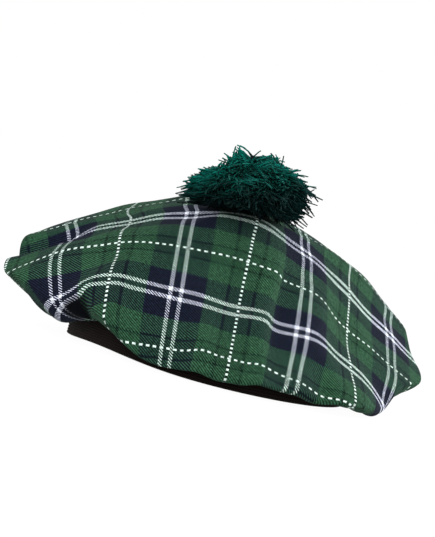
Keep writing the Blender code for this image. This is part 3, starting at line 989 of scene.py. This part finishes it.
def tartan_material(cloth):
    """Woven tartan: warp and weft stripes seen through a twill, and two dotted lines."""
    name = "tartan_twill"
    made, wire = new_material(name)
    vector, across, down, _ = wire.attribute("cloth")
    across, down = wire.times(across, 1.0 / MM), wire.times(down, 1.0 / MM)
    half = cloth.half_sett / MM
    along = wire.plus(across, cloth.middle_across * half)
    below = wire.plus(down, cloth.middle_down * half)
    warp = place_threads(wire, "warp", along, down, cloth)
    weft = place_threads(wire, "weft", below, down, cloth)
    twill = place_group(wire, "Twill", twill_group, Across=across, Down=down,
                        Warp_Pitch=cloth.warp_pitch / MM, Weft_Pitch=cloth.weft_pitch / MM)

    rib = twill["Rib"]
    on_top = wire.crest(rib, cloth.warp_share, FLOAT_EDGE)
    # painted light and shade: each rib's lit flank is lighter and its other flank darker
    flank = wire.between(twill["Flank"], 1.0 - cloth.rib_contrast, 1.0 + cloth.rib_contrast)
    colour = wire.scale(wire.mix(on_top, weft["Color"], warp["Color"]), flank)
    # painted shade at each thread's edges and painted light along its top
    colour = wire.scale(colour, wire.between(twill["Round"], *ROUND_LIGHT))
    weft_share = wire.ramp(across, LONGER_SPAN, cloth.weft_white_share,
                           cloth.weft_white_share * LONGER)
    trough = wire.minus(1.0, rib)
    for line, crossed, wave, share in ((warp, weft, rib, cloth.warp_white_share),
                                       (weft, warp, trough, weft_share)):
        strokes = wire.times(line["White"], wire.crest(wave, share, STROKE_EDGE))
        tinted = wire.mix(crossed["Is Navy"], opaque(cloth.white_over_green),
                          opaque(cloth.white_over_navy))
        colour = wire.mix(strokes, colour, tinted)
    crossing = wire.times(warp["White"], weft["White"])
    colour = wire.mix(crossing, colour, opaque(cloth.white))

    thin = cloth.weft_dot_width / MM / 2
    line_warp, dots_warp = dotted_line(wire, warp, down, half, cloth.warp_dot_width / MM / 2,
                                       cloth.warp_dot_step, cloth.warp_dot_share)
    line_weft, dots_weft = dotted_line(wire, weft, across, half,
                                       wire.ramp(across, THINNER_SPAN, thin * THICKER, thin),
                                       cloth.weft_dot_step, cloth.weft_dot_share)
    dark = opaque(cloth.dark)
    colour = wire.mix(wire.times(line_warp, UNDER_DOTS), colour, dark)
    colour = wire.mix(wire.times(line_weft, UNDER_DASHES), colour, dark)
    dots = wire.maths("MAXIMUM", dots_warp, dots_weft)
    colour = wire.mix(dots, colour, opaque(cloth.dot_white))
    for shade in named_rows(SHADE_COLUMNS, SHADES):
        x = wire.over(wire.minus(across, shade["across"]), shade["wide"])
        y = wire.over(wire.minus(down, shade["down"]), shade["high"])
        away = wire.maths("MULTIPLY_ADD", x, x, wire.times(y, y))
        colour = wire.scale(colour, wire.ramp(away, SHADE_SPAN, 1.0 - shade["dark"], 1.0))

    height = wire.maths("MULTIPLY_ADD", rib, RIB_RELIEF,
                        wire.times(twill["Round"], ROUND_RELIEF))
    height = wire.maths("MAXIMUM", height, wire.times(dots, DOT_RELIEF))
    return finish_material(made, wire, name, colour, vector, height)


def knit_material(band):
    """Dark ribbed knit: fine stitches along the ribs, and painted shade in the grooves, a little
    reddish.
    """
    name = "ribbed_knit"
    made, wire = new_material(name)
    vector, way_round, groove, up = wire.attribute("knit")
    round_mm = wire.times(way_round, 1.0 / MM)
    stitch = wire.raised("SINE", wire.times(round_mm, 2 * np.pi / STITCH))
    streak = wire.node("ShaderNodeCombineXYZ")
    wire.put(streak.inputs["X"], wire.times(round_mm, STREAKS_ROUND))
    wire.put(streak.inputs["Y"], wire.times(up, STREAKS_UP))
    worn = wire.noise(streak.outputs[0], 1.0)
    # painted shade: the yarn is darker, and a little reddish, in the grooves
    colour = wire.mix(groove, opaque(band.yarn), opaque(band.groove))
    colour = wire.mix(wire.between(worn, 0.0, WORN_MOST), colour, opaque(band.worn))
    height = wire.maths("MULTIPLY_ADD", stitch, STITCH_RELIEF,
                        wire.times(worn, STREAK_RELIEF))
    return finish_material(made, wire, name, colour, vector, height)


def yarn_material(pompom):
    """Yarn with painted shade at its root, painted black shadow where its tone is below 0, and
    plied.
    """
    name = "pompom_yarn"
    made, wire = new_material(name)
    vector, along, tone, turned = wire.attribute("strand")
    root = opaque(pompom.root)
    light = wire.maths("MAXIMUM", tone, 0.0)
    black = wire.maths("MAXIMUM", wire.times(tone, -1.0), 0.0)
    colour = wire.mix(light, opaque(pompom.deep), opaque(pompom.light))
    # painted black shadow where the tone is below 0, then painted shade towards the root
    colour = wire.mix(black, colour, root)
    colour = wire.mix(wire.ramp(along, ROOT_SPAN), root, colour)
    twist = wire.maths("MULTIPLY_ADD", along, TWIST, wire.times(turned, 2 * np.pi))
    ply = wire.raised("SINE", twist)
    colour = wire.mix(wire.times(ply, PLY_DARK), colour, root)
    return finish_material(made, wire, name, colour, vector, ply)


# ---- sizes and colours a user would change ---------------------------------------------
class CrownSettings(bpy.types.PropertyGroup):
    """The tartan crown."""

    thickness: FloatProperty(name="Cloth thickness", description="Wall of the twill",
                             default=0.0010, min=0.0005, unit="LENGTH", precision=4)
    around: IntProperty(name="Columns", description="Columns of the mesh", default=336)
    rings_top: IntProperty(name="Upper rows", description="Rows from middle to rim",
                           default=120)
    rings_under: IntProperty(name="Under rows", description="Rows from rim to headband",
                             default=56)
    pleats: IntProperty(name="Pleats", description="Pleats the edge is drawn up into",
                        default=44)
    pleat_depth: FloatProperty(name="Pleat depth", description="Height of a pleat",
                               default=0.0013, unit="LENGTH", precision=4)
    half_sett: FloatProperty(name="Half repeat", description="Half the tartan's repeat",
                             default=0.0405, unit="LENGTH", precision=4)
    middle_across: FloatProperty(name="Middle across", default=2.83,
                                 description="Half repeats from a double line to the middle")
    middle_down: FloatProperty(name="Middle down", default=1.8,
                               description="Half repeats from a double line to the middle")
    warp_pitch: FloatProperty(name="Warp pitch", description="Width of a warp thread",
                              default=0.00052, unit="LENGTH", precision=5)
    weft_pitch: FloatProperty(name="Weft pitch", description="Width of a weft thread",
                              default=0.00048, unit="LENGTH", precision=5)
    warp_share: FloatProperty(name="Warp share", default=0.46, min=0.0, max=1.0,
                              description="Part of the face that the warp covers")
    warp_white_share: FloatProperty(name="White share down", default=0.32, min=0.0, max=1.0,
                                    description="Part of a line down the cloth that is white")
    weft_white_share: FloatProperty(name="White share across", default=0.40, min=0.0,
                                    max=1.0,
                                    description="Part of a line across it that is white")
    between: FloatProperty(name="Between", default=0.8, min=0.0, max=1.0,
                           description="Lightness the green keeps between the dark lines")
    rib_contrast: FloatProperty(name="Rib contrast", default=0.75, min=0.0, max=1.0,
                                description="How much lighter a rib's lit flank is")
    warp_dot_width: FloatProperty(name="Dots down width", default=0.0016, unit="LENGTH",
                                  description="Width of the lines of dots down the cloth",
                                  precision=5)
    weft_dot_width: FloatProperty(name="Dashes across width", default=0.0013,
                                  unit="LENGTH", precision=5,
                                  description="Width of the lines of dashes across it")
    warp_dot_step: FloatProperty(name="Dot step down", description="Repeat of the dots",
                                 default=0.0035, unit="LENGTH", precision=4)
    weft_dot_step: FloatProperty(name="Dot step across", description="Repeat of the dashes",
                                 default=0.00435, unit="LENGTH", precision=5)
    warp_dot_share: FloatProperty(name="Dots down share", default=0.46, min=0.0, max=1.0,
                                  description="Part of a step down that is white")
    weft_dot_share: FloatProperty(name="Dashes across share", default=0.5, min=0.0,
                                  max=1.0, description="Part of a step across that is white")
    green: FloatVectorProperty(name="Green", description="Green yarn", subtype="COLOR",
                               default=(0.026, 0.085, 0.044), min=0.0, max=1.0)
    navy: FloatVectorProperty(name="Navy", description="Navy yarn", subtype="COLOR",
                              default=(0.006, 0.009, 0.022), min=0.0, max=1.0)
    dark: FloatVectorProperty(name="Dark", description="Thin dark lines", subtype="COLOR",
                              default=(0.003, 0.014, 0.010), min=0.0, max=1.0)
    white: FloatVectorProperty(name="White", description="Where two white lines cross",
                               subtype="COLOR", default=(0.88, 0.92, 1.00), min=0.0, max=1.0)
    white_over_green: FloatVectorProperty(name="White over green", subtype="COLOR",
                                          description="A white line's strokes over green",
                                          default=(0.80, 0.98, 0.92), min=0.0, max=1.0)
    white_over_navy: FloatVectorProperty(name="White over navy", subtype="COLOR",
                                         description="A white line's strokes over navy",
                                         default=(0.79, 0.83, 1.00), min=0.0, max=1.0)
    dot_white: FloatVectorProperty(name="Dot white", description="Dotted white lines",
                                   subtype="COLOR", default=(0.80, 0.98, 0.91),
                                   min=0.0, max=1.0)


class BandSettings(bpy.types.PropertyGroup):
    """The ribbed headband."""

    radius: FloatProperty(name="Radius", description="Outer face", default=0.0920,
                          unit="LENGTH", precision=4)
    height: FloatProperty(name="Height", description="From edge to edge", default=0.0220,
                          unit="LENGTH", precision=4)
    wall: FloatProperty(name="Wall", description="Thickness of the knit", default=0.0030,
                        unit="LENGTH", precision=4)
    around: IntProperty(name="Columns", description="Columns of the mesh", default=288)
    ribs: IntProperty(name="Ribs", description="Ribs from edge to edge", default=12)
    rib_depth: FloatProperty(name="Rib depth", description="Depth of a groove",
                             default=0.0003, unit="LENGTH", precision=4)
    yarn: FloatVectorProperty(name="Yarn", description="Dark brown yarn", subtype="COLOR",
                              default=(0.008, 0.0050, 0.0045), min=0.0, max=1.0)
    # painted shade in the grooves of the ribs
    groove: FloatVectorProperty(name="Groove", description="Yarn in the grooves",
                                subtype="COLOR", default=(0.003, 0.001, 0.001),
                                min=0.0, max=1.0)
    worn: FloatVectorProperty(name="Worn", description="Lighter streaks", subtype="COLOR",
                              default=(0.013, 0.009, 0.008), min=0.0, max=1.0)


class PompomSettings(bpy.types.PropertyGroup):
    """The yarn pompom."""

    tufts: IntProperty(name="Tufts", description="Tufts of yarn", default=130)
    strands: IntProperty(name="Strands", description="Strands in a tuft", default=44)
    strand_width: FloatProperty(name="Strand width", description="Width of a strand",
                                default=0.0013, unit="LENGTH", precision=4)
    reach: FloatVectorProperty(name="Reach", description="Half its width and depth",
                               size=2, default=(0.0367, 0.0385), unit="LENGTH")
    heart: FloatProperty(name="Heart", default=0.5, min=0.1, max=0.9,
                         description="How far out the strands start, as part of their way")
    lean: FloatProperty(name="Lean", default=0.55, min=0.0,
                        description="How far the tufts lean from pointing straight out")
    droop: FloatProperty(name="Droop", description="How far the outermost tips hang",
                         default=0.0020, unit="LENGTH", precision=4)
    centre: FloatVectorProperty(name="Centre", description="From the headband's axis",
                                size=3, default=(-0.0015, -0.004, 0.1225), unit="LENGTH")
    # Painted shade: the yarn's tone is darkened under the centre, and more at the right, where
    # shade falls.
    painted_shade_below: FloatProperty(name="Dark below", default=0.0115, unit="LENGTH",
                              description="How far under the centre the yarn is darkest")
    painted_shade_over: FloatProperty(name="Dark over", default=0.024, unit="LENGTH", precision=4,
                             description="Height over which it grows light from there")
    painted_shade_tilt: FloatProperty(name="Dark tilt", default=0.28,
                             description="How much higher the dark reaches at the right")
    light: FloatVectorProperty(name="Light", description="Light strands", subtype="COLOR",
                               default=(0.002, 0.39, 0.30), min=0.0, max=1.0)
    deep: FloatVectorProperty(name="Deep", description="Deep strands", subtype="COLOR",
                              default=(0.0004, 0.022, 0.021), min=0.0, max=1.0)
    # painted shade: the colour of yarn deep in the pompom and of tips painted black as shadow
    root: FloatVectorProperty(name="Root", description="Yarn near the heart",
                              subtype="COLOR", default=(0.0003, 0.005, 0.006),
                              min=0.0, max=1.0)


class StageSettings(bpy.types.PropertyGroup):
    """Floor, lights and camera."""

    distance: FloatProperty(name="Camera distance", description="From the headband",
                            default=1.3, unit="LENGTH")
    elevation: FloatProperty(name="Elevation", description="Camera above the horizon",
                             default=np.radians(6.0), subtype="ANGLE")
    roll: FloatProperty(name="Roll", description="Turn of the camera about its axis",
                        default=np.radians(14.6), subtype="ANGLE")
    lens: FloatProperty(name="Lens", description="Focal length", default=135.1,
                        unit="CAMERA")
    aim: FloatVectorProperty(name="Aim", description="From the foot of the band's axis",
                             size=3, default=(-0.0084, 0.0067, 0.0638), unit="LENGTH")
    floor: FloatVectorProperty(name="Floor", description="Pale floor", subtype="COLOR",
                               default=(0.06, 0.06, 0.06), min=0.0, max=1.0)
    floor_glow: FloatProperty(name="Floor glow", description="Light the floor gives off",
                              default=0.97, min=0.0)


# ---- operators -------------------------------------------------------------------------
class HAT_OT_crown(bpy.types.Operator):
    """Make the tartan crown, gathered and folded"""

    bl_idname = "hat.crown"
    bl_label = "Crown"

    def execute(self, context):
        cloth = context.scene.hat_crown
        points, normals, across, down = crown_surface(
            cloth.around, cloth.rings_top, cloth.rings_under, cloth.pleats,
            cloth.pleat_depth)
        outer = points * MM + FOOT
        kept = np.r_[0:len(outer) - 1:INNER_STEP, len(outer) - 1]
        inner = outer[kept] - normals[kept] * cloth.thickness
        places = np.stack([across * MM, down * MM, 0 * across], axis=2)
        corners, quads, triangles = cloth_wall(
            np.concatenate([outer, places], axis=2),
            np.concatenate([inner, places[kept]], axis=2))
        piece = make_mesh("crown_cloth", corners[:, :3], quads, triangles)
        give_attribute(piece, "cloth", corners[:, 3:])
        dress(piece, tartan_material(cloth), "crown")
        return {"FINISHED"}


class HAT_OT_headband(bpy.types.Operator):
    """Make the ribbed headband"""

    bl_idname = "hat.headband"
    bl_label = "Headband"

    def execute(self, context):
        band = context.scene.hat_band
        points, knit = headband_surface(band)
        rows, columns = points.shape[:2]
        first = np.arange(columns)
        last = (rows - 1) * columns + first
        closing = np.stack([last, first, np.roll(first, -1), np.roll(last, -1)], axis=1)
        faces = np.concatenate([ring_faces(rows, columns), closing])[:, ::-1]
        piece = make_mesh("headband_knit", points.reshape(-1, 3), faces)
        give_attribute(piece, "knit", knit)
        dress(piece, knit_material(band), "headband")
        return {"FINISHED"}


class HAT_OT_pompom(bpy.types.Operator):
    """Make the pompom out of curved strands of yarn"""

    bl_idname = "hat.pompom"
    bl_label = "Pompom"

    def execute(self, context):
        pompom = context.scene.hat_pompom
        points, quads, triangles, facts = pompom_strands(pompom)
        piece = make_mesh("pompom_yarn", points, quads, triangles)
        give_attribute(piece, "strand", facts)
        dress(piece, yarn_material(pompom), "pompom")
        return {"FINISHED"}


class HAT_OT_stage(bpy.types.Operator):
    """Set up the floor, the soft lights and the camera"""

    bl_idname = "hat.stage"
    bl_label = "Stage"

    def execute(self, context):
        stage = context.scene.hat_stage
        make_floor(stage)
        make_lights()
        make_camera(stage)
        context.scene.view_settings.view_transform = "Standard"
        return {"FINISHED"}


# ---- the stage's things ----------------------------------------------------------------
def make_floor(stage):
    """A large pale floor that shows only a faint shadow."""
    half = FLOOR_HALF
    points = [(-half, -half, 0), (half, -half, 0), (half, half, 0), (-half, half, 0)]
    floor = make_mesh("floor", np.array(points), [(0, 1, 2, 3)])
    floor.location.z = -FLOOR_DROP
    made, _ = new_material("pale_floor")
    shader = made.node_tree.nodes["Principled BSDF"]
    shader.inputs["Base Color"].default_value = opaque(stage.floor)
    shader.inputs["Roughness"].default_value = 1.0
    shader.inputs["Specular IOR Level"].default_value = 0.0
    shader.inputs["Emission Color"].default_value = (1.0, 1.0, 1.0, 1.0)
    shader.inputs["Emission Strength"].default_value = stage.floor_glow
    floor.data.materials.append(made)
    floor.visible_diffuse = False
    floor.visible_glossy = False


def make_lights():
    """Large soft lights round the hat, and a white world that the camera sees brighter."""
    for given in named_rows(LIGHT_COLUMNS, LIGHTS):
        lamp = bpy.data.lights.new(given["name"], "AREA")
        lamp.shape = "RECTANGLE"
        lamp.size, lamp.size_y = given["width"], given["height"]
        lamp.energy = given["power"]
        made = bpy.data.objects.new(given["name"], lamp)
        made.location = given["place"]
        way = Vector(given["at"]) - Vector(given["place"])
        made.rotation_euler = way.to_track_quat("-Z", "Y").to_euler()
        bpy.context.scene.collection.objects.link(made)
    world = bpy.data.worlds.new("studio")
    world.use_nodes = True
    bpy.context.scene.world = world
    wire = Wiring(world.node_tree)
    back = world.node_tree.nodes["Background"]
    seen = wire.node("ShaderNodeLightPath")
    strength = wire.between(seen.outputs["Is Camera Ray"], WORLD_LIGHT, WORLD_SEEN)
    wire.put(back.inputs["Strength"], strength)
    back.inputs["Color"].default_value = (1.0, 1.0, 1.0, 1.0)


def make_camera(stage):
    """The photograph's view: a long lens a little above the floor, rolled to the right."""
    foot = Vector(FOOT)
    back = Vector((0.0, -np.cos(stage.elevation), np.sin(stage.elevation)))
    eye = foot + back * stage.distance
    ahead = (foot + Vector(stage.aim) - eye).normalized()
    right = ahead.cross(Vector((0, 0, 1))).normalized()
    up = right.cross(ahead)
    cos_roll, sin_roll = np.cos(stage.roll), np.sin(stage.roll)
    rolled_right = right * cos_roll + up * sin_roll
    rolled_up = up * cos_roll - right * sin_roll
    turn = Matrix((rolled_right, rolled_up, -ahead)).transposed()
    camera = bpy.data.cameras.new("camera")
    camera.lens = stage.lens
    camera.sensor_width = SENSOR
    camera.clip_start, camera.clip_end = CLIP
    made = bpy.data.objects.new("camera", camera)
    made.matrix_world = Matrix.Translation(eye) @ turn.to_4x4()
    bpy.context.scene.collection.objects.link(made)
    bpy.context.scene.camera = made


# ---- the sidebar and the run -----------------------------------------------------------
class HAT_PT_sidebar(bpy.types.Panel):
    """Lists the hat's pieces and their settings"""

    bl_label = "Tam o'shanter"
    bl_idname = "HAT_PT_sidebar"
    bl_space_type = "VIEW_3D"
    bl_region_type = "UI"
    bl_category = "Hat"

    def draw(self, context):
        scene = context.scene
        for group, operator in ((scene.hat_crown, HAT_OT_crown),
                                (scene.hat_band, HAT_OT_headband),
                                (scene.hat_pompom, HAT_OT_pompom),
                                (scene.hat_stage, HAT_OT_stage)):
            box = self.layout.box()
            box.operator(operator.bl_idname)
            for name in group.__annotations__:
                box.prop(group, name)


SETTINGS = (("hat_crown", CrownSettings), ("hat_band", BandSettings),
            ("hat_pompom", PompomSettings), ("hat_stage", StageSettings))
CLASSES = (CrownSettings, BandSettings, PompomSettings, StageSettings, HAT_OT_crown,
           HAT_OT_headband, HAT_OT_pompom, HAT_OT_stage, HAT_PT_sidebar)


def register():
    """Makes the settings, operators and sidebar known to Blender."""
    for kind in CLASSES:
        bpy.utils.register_class(kind)
    for name, kind in SETTINGS:
        setattr(bpy.types.Scene, name, PointerProperty(type=kind))


def unregister():
    """Takes them away again, the last one first."""
    for name, _ in SETTINGS:
        delattr(bpy.types.Scene, name)
    for kind in reversed(CLASSES):
        bpy.utils.unregister_class(kind)


def main():
    """Makes every piece and the stage."""
    register()
    bpy.ops.hat.headband()
    bpy.ops.hat.crown()
    bpy.ops.hat.pompom()
    bpy.ops.hat.stage()


if __name__ == "__main__":
    main()
